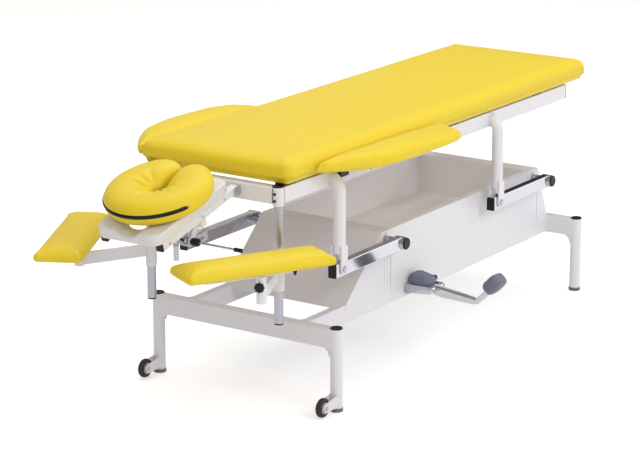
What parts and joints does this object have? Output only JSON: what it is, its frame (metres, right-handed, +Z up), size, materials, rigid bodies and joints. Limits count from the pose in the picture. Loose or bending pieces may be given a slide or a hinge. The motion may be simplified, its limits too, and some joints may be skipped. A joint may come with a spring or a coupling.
{
  "type": "hydraulic treatment table",
  "caption": "White hydraulic treatment table with yellow pads, tilting head section and swing armrests.",
  "frame": {"origin": "on the floor, centred between the four legs", "axes": "+X towards the foot end, +Y to the side away from the foot pedal, +Z up"},
  "size_m": [2.3416, 1.0583, 0.8107],
  "materials": {
    "white_paint": "satin powder coat",
    "black_paint": "satin",
    "grey_paint": "zinc plated",
    "chrome": "bright",
    "zinc": "zinc plated",
    "black_plastic": "satin moulded",
    "yellow_vinyl": "soft artificial leather",
    "wheel_rubber": "matt",
    "foot_rubber": "matt",
    "hub_plastic": "moulded",
    "pedal_plastic": "moulded",
    "plywood": "raw",
    "white_plastic": "moulded"
  },
  "bodies": {
    "base": {"base_legs": "white_paint", "rubber_feet": "foot_rubber", "leg_caps": "black_plastic", "front_cross_beam": "white_paint", "rear_cross_beam": "white_paint", "base_side_rails": "white_paint", "wheel_brackets": "white_paint", "wheel_axles": "zinc", "tub_side_panels": "white_paint", "tub_floor": "white_paint", "tub_front_cowl": "white_paint", "tub_rear_cowl": "white_paint", "pivot_bushes": "zinc", "ram_barrel": "black_paint", "ram_cross_member": "white_paint", "pump_block": "black_paint", "pedal_bracket": "black_paint"},
    "front_arms": {"front_swing_arms": "chrome", "front_cross_shaft": "chrome", "front_arm_caps": "black_plastic", "lift_lever": "grey_paint"},
    "rear_arms": {"rear_swing_arms": "chrome", "rear_cross_shaft": "chrome", "rear_arm_caps": "black_plastic"},
    "upper_frame": {"upper_side_rails": "white_paint", "upper_cross_beams": "white_paint", "corner_tubes": "white_paint", "upper_frame_plugs": "black_plastic", "bent_frame_legs": "white_paint", "arm_pivot_bolts": "zinc", "armrest_posts": "chrome", "wing_brackets": "black_paint", "pad_board": "plywood", "main_pad": "yellow_vinyl", "side_wings": "yellow_vinyl", "head_hinge_cheeks": "zinc", "head_clamp_bracket": "white_paint"},
    "ram": {"ram_rod": "chrome"},
    "pedal": {"pedal_lever": "white_paint", "pedal_pads": "pedal_plastic"},
    "near_wheel": {"near_wheel_tyre": "wheel_rubber", "near_wheel_hub": "hub_plastic"},
    "far_wheel": {"far_wheel_tyre": "wheel_rubber", "far_wheel_hub": "hub_plastic"},
    "head_section": {"head_rails": "white_paint", "head_rail_plugs": "black_plastic", "head_quadrant": "grey_paint", "head_tray": "white_plastic", "face_pillow": "yellow_vinyl"},
    "head_clamp": {"head_clamp_rod": "black_plastic"},
    "near_collar": {"near_height_collar": "white_paint"},
    "near_link": {"near_swing_link": "white_paint"},
    "near_knob": {"near_star_knob": "black_plastic"},
    "near_armrest": {"near_rest_plate": "white_paint", "near_armrest_pad": "yellow_vinyl"},
    "far_collar": {"far_height_collar": "white_paint"},
    "far_link": {"far_swing_link": "white_paint"},
    "far_knob": {"far_star_knob": "black_plastic"},
    "far_armrest": {"far_rest_plate": "white_paint", "far_armrest_pad": "yellow_vinyl"}
  },
  "joints": [
    {"name": "lift", "type": "hinge", "parent": "base", "child": "front_arms", "pos_m": [-0.316, 0, 0.418], "axis": [0, 1, 0], "range_deg": [-30, 38]},
    {"name": "rear_arm_swing", "type": "hinge", "parent": "base", "child": "rear_arms", "pos_m": [0.644, 0, 0.418], "axis": [0, 1, 0], "range_deg": [-30.5, 38.5]},
    {"name": "table_top_level", "type": "hinge", "parent": "front_arms", "child": "upper_frame", "pos_m": [-0.666, 0, 0.418], "axis": [0, 1, 0], "range_deg": [-38.5, 30.5]},
    {"name": "ram_stroke", "type": "slide", "parent": "base", "child": "ram", "axis": [-1, 0, 0], "range_m": [-0.0755, 0.0955]},
    {"name": "pedal_pump", "type": "hinge", "parent": "base", "child": "pedal", "pos_m": [-0.165, -0.322, 0.236], "axis": [1, 0, 0], "range_deg": [-8, 22], "stiffness_Nm_per_rad": 6, "springref_deg": -3.04},
    {"name": "near_wheel_spin", "type": "hinge", "parent": "base", "child": "near_wheel", "pos_m": [-0.8425, -0.3375, 0.032], "axis": [0, 1, 0], "continuous": true},
    {"name": "far_wheel_spin", "type": "hinge", "parent": "base", "child": "far_wheel", "pos_m": [-0.8425, 0.3375, 0.032], "axis": [0, 1, 0], "continuous": true},
    {"name": "head_tilt", "type": "hinge", "parent": "upper_frame", "child": "head_section", "pos_m": [-0.966, 0, 0.702], "axis": [0, 1, 0], "range_deg": [-30, 20]},
    {"name": "head_clamp_turn", "type": "hinge", "parent": "upper_frame", "child": "head_clamp", "pos_m": [-1.00469, 0, 0.53441], "axis": [0, 1, 0], "range_deg": [-180, 180]},
    {"name": "near_armrest_height", "type": "slide", "parent": "upper_frame", "child": "near_collar", "axis": [0, 0, 1], "range_m": [-0.06, 0.05]},
    {"name": "near_link_swing", "type": "hinge", "parent": "near_collar", "child": "near_link", "pos_m": [-0.928, -0.238, 0.458], "axis": [0, 0, 1], "range_deg": [-4, 60]},
    {"name": "near_armrest_turn", "type": "hinge", "parent": "near_link", "child": "near_armrest", "pos_m": [-1.14495, -0.32831, 0.5], "axis": [0, 0, -1], "range_deg": [-12, 45]},
    {"name": "near_knob_turn", "type": "hinge", "parent": "near_link", "child": "near_knob", "pos_m": [-1.14495, -0.32831, 0.4923], "axis": [-0.9232, -0.3843, 0], "range_deg": [-180, 180]},
    {"name": "far_armrest_height", "type": "slide", "parent": "upper_frame", "child": "far_collar", "axis": [0, 0, 1], "range_m": [-0.06, 0.05]},
    {"name": "far_link_swing", "type": "hinge", "parent": "far_collar", "child": "far_link", "pos_m": [-0.928, 0.238, 0.458], "axis": [0, 0, -1], "range_deg": [-4, 60]},
    {"name": "far_armrest_turn", "type": "hinge", "parent": "far_link", "child": "far_armrest", "pos_m": [-1.13193, 0.35479, 0.5], "axis": [0, 0, 1], "range_deg": [-12, 45]},
    {"name": "far_knob_turn", "type": "hinge", "parent": "far_link", "child": "far_knob", "pos_m": [-1.13193, 0.35479, 0.4923], "axis": [-0.8678, 0.497, 0], "range_deg": [-180, 180]}
  ],
  "couplings": [
    {"joint": "rear_arm_swing", "follows": "lift", "ratio": 1},
    {"joint": "table_top_level", "follows": "lift", "ratio": -1},
    {"joint": "ram_stroke", "follows": "lift", "m_per_rad": 0.14325}
  ]
}
